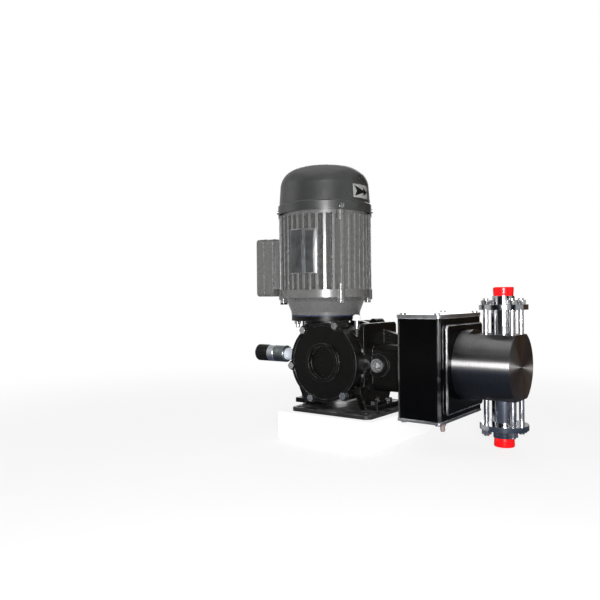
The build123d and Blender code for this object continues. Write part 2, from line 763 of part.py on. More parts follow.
def motor_screws():
    """Small screws of the fan cowl and the terminal box lid."""
    out = []
    for angle in (lug_angle, 180 - lug_angle, 180 + lug_angle, 360 - lug_angle):
        screw = Pos(cowl_r - 3, 0, 0) * Rot(0, 90, 0) * Cylinder(1.6, 6)
        head = Pos(cowl_r + 0.75, 0, 0) * Rot(0, 90, 0) * Cylinder(3.0, 1.5)
        out.append(Pos(motor_x, 0, cowl_rim_z + 4.5) * Rot(0, 0, angle) * (screw + head))
    x = motor_x - terminal_reach
    for y in (-terminal_half_width + 6, terminal_half_width - 6):
        for z in (terminal_bottom + 6, terminal_top - 6):
            out.append(rod_x(3.0, x - 1.8, x, y, z) + rod_x(1.8, x, x + terminal_lid_thick + 6, y, z))
    return out


def terminal_box():
    x0 = motor_x - terminal_reach + terminal_lid_thick
    x1 = motor_x - fin_envelope_r - 1
    y = terminal_half_width
    box = block(x0, x1, -y, y, terminal_bottom, terminal_top)
    box = fillet(box.edges().filter_by(Axis.X), 4)
    inner = block(x0 - 1, x1 - terminal_wall, -y + terminal_wall, y - terminal_wall,
                  terminal_bottom + terminal_wall, terminal_top - terminal_wall)
    box -= inner
    for sy in (-y + 6, y - 6):
        for z in (terminal_bottom + 6, terminal_top - 6):
            box += rod_x(4.2, x0, x1 - 1, sy, z)
            box -= rod_x(1.8, x0 - 1, x0 + 7, sy, z)
    box -= rod_z(gland_r - 2.5, terminal_bottom - 1, terminal_bottom + terminal_wall + 1, gland_x(), 0)
    return box


def terminal_lid():
    x0 = motor_x - terminal_reach
    x1 = x0 + terminal_lid_thick
    y = terminal_half_width + 0.6
    lid = block(x0, x1, -y, y, terminal_bottom - 0.6, terminal_top + 0.6)
    lid = fillet(lid.edges().filter_by(Axis.X), 4.5)
    lid = fillet(lid.faces().sort_by(Axis.X)[0].edges(), 2.0)
    w = terminal_wall
    lid -= block(x0 + w, x1 + 1, -y + 11, y - 11, terminal_bottom + 4, terminal_top - 4)
    for sy in (-terminal_half_width + 6, terminal_half_width - 6):
        for z in (terminal_bottom + 6, terminal_top - 6):
            lid -= rod_x(1.9, x0 - 1, x1 + 1, sy, z)
    return lid


def terminal_board():
    x1 = motor_x - fin_envelope_r - 1 - terminal_wall
    mid = (terminal_bottom + terminal_top) / 2
    board = block(x1 - 6, x1, -20, 20, mid - 16, mid + 16)
    for y in (-12, 0, 12):
        for z in (mid - 8, mid + 8):
            board += rod_x(2.0, x1 - 13, x1 - 5, y, z)
            board += hex_x(7.0, x1 - 9, x1 - 6, y, z)
    return board


def gland_x():
    x0 = motor_x - terminal_reach + terminal_lid_thick
    x1 = motor_x - fin_envelope_r - 1 - terminal_wall
    return (x0 + x1) / 2


def cable_gland():
    x = gland_x()
    z = terminal_bottom
    body = rod_z(gland_r - 2.5 - 0.02, z - 1, z + terminal_wall + 5, x, 0)
    body += hex_z(2 * gland_r - 3, z - 5, z, x, 0)
    body += rod_z(gland_r - 1.5, z - 12, z - 5, x, 0)
    return body


def worm_shaft():
    """Shaft from the worm's lower bearing through the motor to the fan, with the worm cut on it."""
    low = shield_bottom + 10
    body = rod_z(worm_shaft_r, worm_chamber_floor + 1, low - 1) + worm()
    body += rod_z(motor_shaft_r, low - 1, cowl_rim_z + 30)
    body += rod_z(motor_shaft_r + 3, core_z - 20, core_z + core_length + 15)
    return body


def rotor_core():
    body = rod_z(rotor_r, core_z, core_z + core_length)
    return body - rod_z(motor_shaft_r + 3, core_z - 1, core_z + core_length + 1)


def cooling_fan():
    z0 = cowl_rim_z + 14
    fan = rod_z(15, z0, z0 + 18) + rod_z(46, z0, z0 + 2)
    for k in range(8):
        blade = block(12, 48, -1.2, 1.2, z0, z0 + 16)
        fan += Pos(motor_x, 0, 0) * Rot(0, 0, 45 * k) * blade
    return fan - rod_z(motor_shaft_r, z0 - 1, z0 + 19)


def breather_pipe():
    x, y = breather_x, breather_y
    low = breather_seat_z
    return rod_z(3.0, low - 8, low + 11.5, x, y) + hex_z(9.0, low, low + 3, x, y)


def breather_plug():
    x, y = breather_x, breather_y
    low = breather_seat_z + 11.5
    plug = turned_z([(0, low), (5.5, low), (5.5, low + 1.5), (4.8, low + 2.2), (4.8, low + 5),
                     (4.0, low + 6.4), (2.2, low + 7.3), (0, low + 7.6)], x, y)
    return plug


def drain_plug():
    x = drain_x
    y, z = drain_y, drain_z
    return rod_x(5.0, x - 14, x, y, z) + hex_x(10.0, x, x + 5, y, z)


def sight_glass_ring():
    y = sight_face
    ring = rod_y(sight_ring_r, y - 3, y, sight_x, sight_z)
    ring -= rod_y(sight_lens_r, y - 4, y + 1, sight_x, sight_z)
    stem = rod_y(sight_lens_r + 0.5, y, y + 3, sight_x, sight_z)
    return ring + (stem - rod_y(sight_lens_r - 1.5, y - 1, y + 4, sight_x, sight_z))


def sight_glass_lens():
    return rod_y(sight_lens_r, sight_face - 2.2, sight_face, sight_x, sight_z)


def stop_neck():
    """Pale tube that carries the stroke scale and guides the stop pin."""
    rear = sleeve_front - sleeve_length - ring_length - 10
    body = turned_x([(rear, 0), (rear, neck_tube_r - 0.6), (rear + 0.6, neck_tube_r),
                     (knob_boss_end, neck_tube_r), (knob_boss_end, neck_stem_r),
                     (knob_boss_end + 14, neck_stem_r), (knob_boss_end + 14, 0)])
    return body - rod_x(stop_pin_r + stop_bore_gap, rear - 1, knob_boss_end + 15)


def stroke_sleeve():
    x0 = sleeve_front - sleeve_length
    body = turned_x([(x0, neck_tube_r), (x0, sleeve_r - 0.3), (x0 + 0.5, sleeve_r),
                     (sleeve_front - 1.2, sleeve_r), (sleeve_front, sleeve_r - 1.2), (sleeve_front, neck_tube_r)])
    return body


def scale_ring():
    """Pale ring that turns with the knob over the neck."""
    x1 = sleeve_front - sleeve_length
    x0 = x1 - ring_length
    bore = neck_tube_r + 0.3
    return turned_x([(x0, bore), (x0, knob_r - 0.4), (x0 + 0.4, knob_r), (x1 - 1.2, knob_r),
                     (x1 - 0.3, knob_r - 0.9), (x1 - 0.3, bore)])


def stroke_knob():
    """Black knob, a cup over the neck's end, with flutes round its grip."""
    x1 = sleeve_front - sleeve_length - ring_length
    x0 = x1 - knob_length
    bore = neck_tube_r + 0.3
    body = turned_x([(x0, 0), (x0, knob_r - 2.2), (x0 + 2.2, knob_r), (x1, knob_r), (x1, bore),
                     (x0 + knob_end_wall, bore), (x0 + knob_end_wall, 0)])
    body -= rod_x(3.0, x0 + 2, x1)
    for k in range(12):
        a = radians(30 * k)
        y = plunger_y + (knob_r + 0.7) * cos(a)
        z = plunger_z + (knob_r + 0.7) * sin(a)
        body -= rod_x(1.3, x0 - 1, x1 - 7, y, z)
    return body


def stop_spindle():
    x0 = sleeve_front - sleeve_length - ring_length - knob_length
    body = rod_x(3.0, x0 + 2, x0 + knob_end_wall)
    return body + rod_x(stop_pin_r, x0 + knob_end_wall, pin_split)


def stop_pin():
    return rod_x(stop_pin_r, pin_split, rear_pad_x)


def guard_box():
    """Square guard box, open above and below."""
    y0 = plunger_y - box_half_width
    y1 = plunger_y + box_half_width
    w = box_wall
    box = block(box_rear, box_front, y0, y1, box_bottom, box_top)
    box = fillet(box.edges().filter_by(Axis.Z), box_round)
    box -= block(box_rear + w, box_front - w, y0 + w, y1 - w, box_bottom - 1, box_top + 1)
    for x, y in box_screw_points():
        post = rod_z(3.6, box_bottom, box_top, x, y)
        box += post
        for z0, z1 in ((box_bottom - 1, box_bottom + 9), (box_top - 9, box_top + 1)):
            box -= rod_z(1.8, z0, z1, x, y)
    box -= rod_x(crosshead_rod_r + 3, box_rear - 1, box_rear + w + 1)
    box -= rod_x(gland_flange_r + 1, box_front - w - 1, box_front + 1)
    for y, z in head_screw_points():
        box -= rod_x(3.2, box_front - w - 1, box_front + 1, y, z)
    return box


def box_screw_points():
    inset = box_wall + 2.4
    y0 = plunger_y - box_half_width + inset
    y1 = plunger_y + box_half_width - inset
    return [(x, y) for x in (box_rear + inset, box_front - inset) for y in (y0, y1)]


def box_cover(z0, z1):
    """Flat cover of the guard box."""
    edge = 0.8
    y0 = plunger_y - box_half_width - edge
    y1 = plunger_y + box_half_width + edge
    plate = block(box_rear - edge, box_front + edge, y0, y1, z0, z1)
    plate = fillet(plate.edges().filter_by(Axis.Z), box_round + edge)
    for x, y in box_screw_points():
        plate -= rod_z(2.0, z0 - 1, z1 + 1, x, y)
    return plate


def box_screws():
    out = []
    for x, y in box_screw_points():
        top = box_top + top_plate_thick
        low = box_bottom - bottom_plate_thick
        out.append(rod_z(1.8, box_top - 8, top, x, y) + rod_z(3.4, top, top + 1.8, x, y))
        out.append(rod_z(1.8, low, box_bottom + 8, x, y) + rod_z(3.4, low - 1.8, low, x, y))
    return out


def box_front_plate():
    """Raised plate that carries the pump head."""
    inset = front_plate_inset
    y0 = plunger_y - box_half_width + inset
    y1 = plunger_y + box_half_width - inset
    plate = block(box_front, head_rear, y0, y1, box_bottom + inset, box_top - inset)
    plate = fillet(plate.edges().filter_by(Axis.X), 5)
    plate = chamfer(plate.faces().sort_by(Axis.X)[-1].edges(), 1.0)
    plate -= rod_x(gland_flange_r + 1, box_front - 1, head_rear + 1)
    for y, z in head_screw_points():
        plate -= rod_x(3.2, box_front - 1, head_rear + 1, y, z)
    return plate


def head_screw_points():
    r = 33.0
    return [(plunger_y + r * cos(radians(a)), plunger_z + r * sin(radians(a))) for a in stud_angles]


def head_screws():
    out = []
    for y, z in head_screw_points():
        x0 = box_front - box_wall
        out.append(rod_x(3.0, x0, head_rear + 12, y, z) + rod_x(5.0, x0 - 6, x0, y, z))
    return out


def drip_nipple():
    x, y = box_front - 3.4, plunger_y - box_half_width + 3.4 + 10
    z1 = box_bottom - bottom_plate_thick
    return turned_z([(0, z1 - 9), (2.2, z1 - 9), (2.8, z1 - 7), (2.8, z1 - 2), (4.0, z1 - 2), (4.0, z1), (0, z1)], x, y)


def pump_head():
    """Turned stainless head with flats above and below and its cross passages."""
    body = rod_x(head_r, head_rear, head_front)
    body = chamfer(body.faces().sort_by(Axis.X)[-1].edges(), 0.8)
    step = head_rear + head_round_length
    for sign in (-1, 1):
        z0 = plunger_z + sign * head_flat
        z1 = plunger_z + sign * (head_r + 5)
        body -= block(step, head_front + 1, plunger_y - 50, plunger_y + 50, min(z0, z1), max(z0, z1))
    body -= rod_x(packing_r, head_rear - 1, head_rear + packing_depth)
    body -= rod_x(plunger_r + 0.5, head_rear, head_front - 12)
    body -= rod_z(valve_bore_r, plunger_z - head_r - 1, plunger_z + head_r + 1, valve_x, plunger_y)
    for x, y in tie_points():
        for sign in (-1, 1):
            z0 = plunger_z + sign * (head_flat - tie_depth)
            z1 = plunger_z + sign * (head_flat + 2)
            body -= rod_z(tie_r, z0, z1, x, y)
    for y, z in head_screw_points():
        body -= rod_x(3.0, head_rear - 1, head_rear + 12.5, y, z)
    return body


def tie_points():
    return around(stud_angles, tie_circle, valve_x, plunger_y)


def packing_rings():
    out = []
    width = 4.5
    for k in range(3):
        x1 = head_rear + packing_depth - k * width
        out.append(rod_x(packing_r - fit_gap, x1 - width, x1) - rod_x(plunger_r + running_gap, x1 - width - 1, x1 + 1))
    return out


def packing_gland():
    """Gland that presses the packing, with its flange inside the guard box."""
    x1 = head_rear + packing_depth - 3 * 4.5
    x0 = head_rear - 7
    body = rod_x(packing_r - fit_gap, x0, x1) + rod_x(gland_flange_r, x0, head_rear)
    return body - rod_x(plunger_r + 0.1, x0 - 1, x1 + 1)


def valve_body(sign):
    """Column and neck of one valve with its ball chamber; sign 1 above the head, -1 below."""
    base = plunger_z + sign * head_flat
    shoulder = base + sign * valve_column
    end = shoulder + sign * valve_neck
    body = rod_z(valve_r, base, shoulder, valve_x, plunger_y)
    body += rod_z(valve_neck_r, shoulder, end, valve_x, plunger_y)
    seat_top = seat_top_z(sign)
    body -= rod_z(valve_bore_r, base - sign, end + sign, valve_x, plunger_y)
    body -= rod_z(chamber_r, seat_top, seat_top + ball_rise() + ball_r + ball_lift + 0.1, valve_x, plunger_y)
    if sign > 0:
        body -= rod_z(seat_r, base - 1, seat_top, valve_x, plunger_y)
        body -= rod_z(cap_stem_r, end - 9, end + 1, valve_x, plunger_y)
    else:
        body -= rod_z(seat_r, end - 1, seat_top, valve_x, plunger_y)
    return body


def ball_rise():
    """Height of the ball's centre over the seat's top face."""
    return sqrt(ball_r ** 2 - valve_bore_r ** 2) + 0.02


def seat_top_z(sign):
    if sign > 0:
        return plunger_z + head_flat + seat_thick
    return plunger_z - head_flat - valve_column - valve_neck + 10.0 + seat_thick


def valve_seats():
    out = []
    for sign in (-1, 1):
        top = seat_top_z(sign)
        out.append(rod_z(seat_r, top - seat_thick, top, valve_x, plunger_y)
                   - rod_z(valve_bore_r, top - seat_thick - 1, top + 1, valve_x, plunger_y))
    return out


def valve_ball(sign):
    return Pos(valve_x, plunger_y, seat_top_z(sign) + ball_rise()) * Sphere(ball_r)


def clamp_plates():
    out = []
    for sign in (-1, 1):
        z0 = plunger_z + sign * (head_flat + valve_column)
        z1 = z0 + sign * clamp_thick
        plate = rod_z(clamp_r, z0, z1, valve_x, plunger_y) - rod_z(valve_neck_r, z0 - 9, z0 + 9, valve_x, plunger_y)
        for x, y in tie_points():
            plate -= rod_z(tie_r + 0.3, z0 - 9, z0 + 9, x, y)
        out.append(plate)
    return out


def valve_tie_bolts():
    out = []
    for sign in (-1, 1):
        z0 = plunger_z + sign * (head_flat - tie_depth)
        face = plunger_z + sign * (head_flat + valve_column + clamp_thick)
        for x, y in tie_points():
            stud = rod_z(tie_r, z0, face + sign * (tie_nut_thick + 2), x, y)
            low, high = sorted((face, face + sign * tie_nut_thick))
            out.append(stud + hex_z(tie_nut_flats, low, high, x, y))
    return out


def port_caps():
    """Flared transit caps in the two ports."""
    out = []
    for sign in (-1, 1):
        z0 = plunger_z + sign * (head_flat + valve_column + valve_neck)
        stem = z0 - sign * 8
        z1 = z0 + sign * cap_length
        r_stem = cap_stem_r if sign > 0 else seat_r
        out.append(turned_z([(0, stem), (r_stem, stem), (r_stem, z0), (cap_base_r, z0),
                             (cap_base_r + 0.3, z0 + sign * 3), (cap_r, z1 - sign * 1), (cap_r - 0.6, z1),
                             (0, z1)], valve_x, plunger_y))
    return out


os.makedirs("parts", exist_ok=True)
save(base_plate(), "base_plate")
save(gear_housing(), "gear_housing")
save(side_cover(-1), "near_side_cover")
save(side_cover(1), "far_side_cover")
save_group(housing_screws(), "housing_screws")
save_group(ball_bearings(), "ball_bearings")
save_group(oil_seals(), "oil_seals")
save(motor_gasket(), "motor_gasket")
save_group(flange_studs(), "flange_studs")
save(lower_end_shield(), "lower_end_shield")
save(motor_frame(), "motor_frame")
save(stator_core(), "stator_core")
save_group(stator_windings(), "stator_windings")
save(upper_end_shield(), "upper_end_shield")
save_group(motor_tie_bolts(), "motor_tie_bolts")
save(fan_cowl(), "fan_cowl")
save_group(motor_screws(), "motor_screws")
save(terminal_box(), "terminal_box")
save(terminal_lid(), "terminal_lid")
save(terminal_board(), "terminal_board")
save(cable_gland(), "cable_gland")
save(worm_shaft(), "worm_shaft")
save(rotor_core(), "rotor_core")
save(cooling_fan(), "cooling_fan")
save(worm_wheel(), "worm_wheel")
save(wheel_shaft(), "wheel_shaft")
save(eccentric(), "eccentric")
save(crosshead(), "crosshead")
save(plunger(), "plunger")
save(return_spring(), "return_spring")
save(breather_pipe(), "breather_pipe")
save(breather_plug(), "breather_plug")
save(drain_plug(), "drain_plug")
save(sight_glass_ring(), "sight_glass_ring")
save(sight_glass_lens(), "sight_glass_lens")
save(stop_neck(), "stop_neck")
save(stroke_sleeve(), "stroke_sleeve")
save(scale_ring(), "scale_ring")
save(stroke_knob(), "stroke_knob")
save(stop_spindle(), "stop_spindle")
save(stop_pin(), "stop_pin")
save(guard_box(), "guard_box")
save(box_cover(box_top, box_top + top_plate_thick), "box_top_plate")
save(box_cover(box_bottom - bottom_plate_thick, box_bottom), "box_bottom_plate")
save_group(box_screws(), "box_screws")
save(box_front_plate(), "box_front_plate")
save(drip_nipple(), "drip_nipple")
save(pump_head(), "pump_head")
save_group(head_screws(), "head_screws")
save_group(packing_rings(), "packing_rings")
save(packing_gland(), "packing_gland")
save(valve_body(-1), "suction_valve_body")
save(valve_body(1), "discharge_valve_body")
save_group(valve_seats(), "valve_seats")
save(valve_ball(-1), "suction_ball")
save(valve_ball(1), "discharge_ball")
save_group(clamp_plates(), "clamp_plates")
save_group(valve_tie_bolts(), "valve_tie_bolts")
save_group(port_caps(), "port_caps")
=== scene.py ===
from math import cos, radians, sin

import bpy
from mathutils import Matrix, Vector


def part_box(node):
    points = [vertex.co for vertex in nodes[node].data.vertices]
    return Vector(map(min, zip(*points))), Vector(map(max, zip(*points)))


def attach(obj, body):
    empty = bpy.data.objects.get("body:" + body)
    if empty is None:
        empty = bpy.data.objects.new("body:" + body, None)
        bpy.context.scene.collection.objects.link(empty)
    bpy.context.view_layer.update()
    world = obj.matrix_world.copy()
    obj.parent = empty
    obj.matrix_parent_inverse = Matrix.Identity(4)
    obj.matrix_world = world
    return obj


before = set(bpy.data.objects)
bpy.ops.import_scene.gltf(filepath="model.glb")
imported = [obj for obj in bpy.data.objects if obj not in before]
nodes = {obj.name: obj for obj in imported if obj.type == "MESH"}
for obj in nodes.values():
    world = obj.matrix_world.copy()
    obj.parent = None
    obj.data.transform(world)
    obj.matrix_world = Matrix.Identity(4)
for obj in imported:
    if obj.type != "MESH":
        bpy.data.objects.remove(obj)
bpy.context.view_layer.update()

# lines of the pump that pieces and marks are placed by, in metres
pump = {
    "motorX": -0.0465,
    "plungerY": 0.018,
}

# the place in metres, the turns in degrees, lens and sensor in millimetres
cameraSet = {
    "place": (0.4388, -0.6904, 0.1428),
    "yaw": 37.42,
    "pitch": -0.23,
    "roll": -0.52,
    "lens": 37.96,
    "sensor": 36.0,
}


def makeCamera(s):
    yaw, pitch, roll = (radians(s[k]) for k in ("yaw", "pitch", "roll"))
    forward = Vector((-sin(yaw) * cos(pitch), cos(yaw) * cos(pitch), sin(pitch)))
    level = Vector((cos(yaw), sin(yaw), 0.0))
    up = level.cross(forward)
    right = cos(roll) * level + sin(roll) * up
    top = -sin(roll) * level + cos(roll) * up
    data = bpy.data.cameras.new("camera")
    data.lens = s["lens"]
    data.sensor_width = s["sensor"]
    data.clip_start = 0.01
    data.clip_end = 50.0
    cam = bpy.data.objects.new("camera", data)
    bpy.context.scene.collection.objects.link(cam)
    turn = Matrix((right, top, -forward)).transposed().to_4x4()
    cam.matrix_world = Matrix.Translation(s["place"]) @ turn
    bpy.context.scene.camera = cam
    return cam


makeCamera(cameraSet)
bpy.context.scene.view_settings.view_transform = "Standard"
print("camera ready")


class Nodes:
    # short hand for placing and joining shader nodes
    def __init__(self, tree):
        self.tree = tree
        self.count = 0

    def add(self, kind, **values):
        n = self.tree.nodes.new(kind)
        n.location = (-220 * (self.count % 8), -180 * (self.count // 8))
        self.count += 1
        for key, value in values.items():
            setattr(n, key, value)
        return n

    def join(self, a, b):
        self.tree.links.new(a, b)

    def put(self, socket, value):
        # a socket is joined, a plain value is set
        if isinstance(value, bpy.types.NodeSocket):
            self.tree.links.new(value, socket)
        else:
            socket.default_value = value

    def math(self, operation, a, b=0.0, c=0.0, clamp=False):
        n = self.add("ShaderNodeMath", operation=operation, use_clamp=clamp)
        for i, v in enumerate((a, b, c)):
            if i < len(n.inputs):
                self.put(n.inputs[i], v)
        return n.outputs[0]

    def vector(self, operation, a, b=None):
        n = self.add("ShaderNodeVectorMath", operation=operation)
        self.put(n.inputs[0], a)
        if b is not None:
            self.put(n.inputs[1], b)
        return n.outputs["Value"] if operation in ("LENGTH", "DOT_PRODUCT") else n.outputs[0]

    def noise(self, place, scale, detail=3.0, roughness=0.5):
        n = self.add("ShaderNodeTexNoise")
        self.put(n.inputs["Vector"], place)
        self.put(n.inputs["Scale"], scale)
        self.put(n.inputs["Detail"], detail)
        self.put(n.inputs["Roughness"], roughness)
        return n.outputs["Fac"]

    def ramp(self, value, low, high, newLow=0.0, newHigh=1.0):
        n = self.add("ShaderNodeMapRange", interpolation_type="SMOOTHSTEP")
        self.put(n.inputs["Value"], value)
        for key, v in (("From Min", low), ("From Max", high), ("To Min", newLow), ("To Max", newHigh)):
            self.put(n.inputs[key], v)
        return n.outputs["Result"]

    def mix(self, factor, a, b):
        n = self.add("ShaderNodeMix", data_type="RGBA")
        self.put(n.inputs["Factor"], factor)
        self.put(n.inputs[6], a)
        self.put(n.inputs[7], b)
        return n.outputs[2]

    def bump(self, height, distance, strength=1.0, normal=None):
        n = self.add("ShaderNodeBump")
        self.put(n.inputs["Height"], height)
        self.put(n.inputs["Distance"], distance)
        self.put(n.inputs["Strength"], strength)
        if normal is not None:
            self.put(n.inputs["Normal"], normal)
        return n.outputs["Normal"]


def newGroup(name, inputs, outputs):
    tree = bpy.data.node_groups.new(name, "ShaderNodeTree")
    for label, kind, value in inputs:
        socket = tree.interface.new_socket(label, in_out="INPUT", socket_type=kind)
        if value is not None:
            socket.default_value = value
    for label, kind in outputs:
        tree.interface.new_socket(label, in_out="OUTPUT", socket_type=kind)
    n = Nodes(tree)
    return n, n.add("NodeGroupInput"), n.add("NodeGroupOutput")


def softEdgeGroup():
    # rounded corners for the light, and a mask that is 1 on the edges
    n, given, out = newGroup(
        "softEdge",
        [("Radius", "NodeSocketFloat", 0.0005), ("Spread", "NodeSocketFloat", 0.25)],
        [("Normal", "NodeSocketVector"), ("Edge", "NodeSocketFloat")],
    )
    bevel = n.add("ShaderNodeBevel", samples=4)
    n.join(given.outputs["Radius"], bevel.inputs["Radius"])
    plain = n.add("ShaderNodeNewGeometry")
    dot = n.vector("DOT_PRODUCT", bevel.outputs["Normal"], plain.outputs["Normal"])
    off = n.math("SUBTRACT", 1.0, dot)
    edge = n.math("DIVIDE", off, given.outputs["Spread"], clamp=True)
    n.join(bevel.outputs["Normal"], out.inputs["Normal"])
    n.join(edge, out.inputs["Edge"])
    return n.tree


def castGrainGroup():
    # the skin of a painted casting: fine grain over slow waves
    n, given, out = newGroup(
        "castGrain",
        [("Fine", "NodeSocketFloat", 900.0), ("Slow", "NodeSocketFloat", 90.0), ("Share", "NodeSocketFloat", 0.35)],
        [("Height", "NodeSocketFloat"), ("Mask", "NodeSocketFloat")],
    )
    place = n.add("ShaderNodeTexCoord").outputs["Object"]
    fine = n.noise(place, given.outputs["Fine"], 2.0, 0.6)
    slow = n.noise(place, given.outputs["Slow"], 3.0, 0.5)
    part = n.math("MULTIPLY", fine, given.outputs["Share"])
    height = n.math("ADD", slow, part)
    n.join(height, out.inputs["Height"])
    n.join(slow, out.inputs["Mask"])
    return n.tree


def dustGroup():
    # dust and dirt that settle on faces that look up
    n, given, out = newGroup(
        "settledDust",
        [("Amount", "NodeSocketFloat", 0.3), ("Scale", "NodeSocketFloat", 60.0)],
        [("Mask", "NodeSocketFloat")],
    )
    place = n.add("ShaderNodeTexCoord").outputs["Object"]
    up = n.add("ShaderNodeSeparateXYZ")
    n.join(n.add("ShaderNodeNewGeometry").outputs["Normal"], up.inputs[0])
    facing = n.ramp(up.outputs["Z"], 0.3, 0.95)
    spots = n.noise(place, given.outputs["Scale"], 5.0, 0.7)
    spots = n.ramp(spots, 0.42, 0.72)
    both = n.math("MULTIPLY", facing, spots)
    n.join(n.math("MULTIPLY", both, given.outputs["Amount"]), out.inputs["Mask"])
    return n.tree


def scratchGroup():
    # short fine scratches that run along one axis of the piece
    n, given, out = newGroup(
        "fineScratches",
        [("Stretch", "NodeSocketVector", (1.0, 1.0, 1.0)), ("Scale", "NodeSocketFloat", 400.0)],
        [("Mask", "NodeSocketFloat"), ("Height", "NodeSocketFloat")],
    )
    place = n.add("ShaderNodeTexCoord").outputs["Object"]
    run = n.vector("MULTIPLY", place, given.outputs["Stretch"])
    lines = n.noise(run, given.outputs["Scale"], 4.0, 0.65)
    n.join(n.ramp(lines, 0.35, 0.7), out.inputs["Mask"])
    n.join(lines, out.inputs["Height"])
    return n.tree


def turnedGroup():
    # lathe marks round a line along an axis: the distance from the line and the place along it
    n, given, out = newGroup(
        "latheMarks",
        [("Centre", "NodeSocketVector", (0.0, 0.0, 0.0)), ("Keep", "NodeSocketVector", (0.0, 1.0, 1.0)),
         ("Along", "NodeSocketVector", (1.0, 0.0, 0.0)), ("Pitch", "NodeSocketFloat", 0.0004)],
        [("Height", "NodeSocketFloat"), ("Band", "NodeSocketFloat"), ("Tangent", "NodeSocketVector")],
    )
    place = n.add("ShaderNodeTexCoord").outputs["Object"]
    fromLine = n.vector("SUBTRACT", place, given.outputs["Centre"])
    across = n.vector("MULTIPLY", fromLine, given.outputs["Keep"])
    radius = n.vector("LENGTH", across)
    along = n.vector("DOT_PRODUCT", fromLine, given.outputs["Along"])
    run = n.math("ADD", radius, along)
    step = n.math("DIVIDE", run, given.outputs["Pitch"])
    oneLine = n.add("ShaderNodeCombineXYZ")
    n.join(step, oneLine.inputs["X"])
    height = n.noise(oneLine.outputs[0], 1.0, 3.0, 0.7)
    slow = n.math("MULTIPLY", step, 0.25)
    slowLine = n.add("ShaderNodeCombineXYZ")
    n.join(slow, slowLine.inputs["X"])
    band = n.noise(slowLine.outputs[0], 1.0, 2.0, 0.5)
    grooves = n.vector("CROSS_PRODUCT", given.outputs["Along"], across)
    tangent = n.vector("CROSS_PRODUCT", n.add("ShaderNodeNewGeometry").outputs["Normal"], grooves)
    tangent = n.vector("NORMALIZE", tangent)
    n.join(height, out.inputs["Height"])
    n.join(band, out.inputs["Band"])
    n.join(tangent, out.inputs["Tangent"])
    return n.tree


softEdge = softEdgeGroup()
castGrain = castGrainGroup()
settledDust = dustGroup()
fineScratches = scratchGroup()
latheMarks = turnedGroup()


def useGroup(n, tree, **values):
    g = n.add("ShaderNodeGroup", node_tree=tree)
    for key, value in values.items():
        n.put(g.inputs[key], value)
    return g


def startMaterial(name, **plain):
    # a material with its Principled shader, plain values set on the shader's own sockets
    m = bpy.data.materials.new(name)
    m.use_nodes = True
    m.node_tree.nodes.clear()
    n = Nodes(m.node_tree)
    shader = n.add("ShaderNodeBsdfPrincipled")
    out = n.add("ShaderNodeOutputMaterial")
    n.join(shader.outputs[0], out.inputs["Surface"])
    for key, value in plain.items():
        shader.inputs[key.replace("_", " ")].default_value = value
    return m, n, shader.inputs


def grey(v, tint=(1.0, 1.0, 1.0)):
    return (v * tint[0], v * tint[1], v * tint[2], 1.0)


paints = {
    "gearboxBlack": dict(colour=(0.0032, 0.0030, 0.0027), edge=(0.085, 0.085, 0.088),
                         dust=(0.040, 0.038, 0.035),
                         rough=0.33, roughSpread=0.14, specular=0.17, edgeSpecular=0.3, grain=0.00016,
                         fine=1100.0, slow=95.0, edgeRadius=0.0009, dustAmount=0.32),
    "baseBlack": dict(colour=(0.010, 0.010, 0.0105), edge=(0.05, 0.048, 0.045), dust=(0.17, 0.168, 0.165),
                      rough=0.42, roughSpread=0.18, specular=0.35, grain=0.0001, fine=900.0, slow=60.0,
                      edgeRadius=0.0008, dustAmount=0.6),
    # the gloss box's pale edge colour is a painted highlight along its rounded edges
    "boxGloss": dict(colour=(0.0010, 0.0010, 0.0011), edge=(0.75, 0.75, 0.77), dust=(0.02, 0.02, 0.02),
                     rough=0.2, roughSpread=0.08, specular=0.11, edgeSpecular=1.6, edgeSpread=0.06,
                     grain=0.00003, fine=600.0, slow=40.0, edgeRadius=0.0015, dustAmount=0.15),
    "motorGrey": dict(colour=(0.098, 0.098, 0.097), edge=(0.30, 0.30, 0.295), dust=(0.2, 0.19, 0.175),
                      rough=0.28, roughSpread=0.05, specular=0.55, grain=0.00006, fine=1300.0, slow=120.0,
                      edgeRadius=0.0007, dustAmount=0.3),
    "cowlGrey": dict(colour=(0.030, 0.0305, 0.0305), edge=(0.14, 0.14, 0.14), dust=(0.12, 0.115, 0.11),
                     rough=0.31, roughSpread=0.08, specular=0.55, grain=0.00005, fine=1500.0, slow=50.0,
                     edgeRadius=0.0006, dustAmount=0.22),
}


# wear on edges, which on the gloss box is a painted highlight, how much duller dust is, and the strength of the
# grain
paintLook = {"wearAndHighlightFrom": 0.35, "wearAndHighlightTo": 0.6, "dustRough": 0.4, "bump": 0.6, "edgeSpread": 0.25}


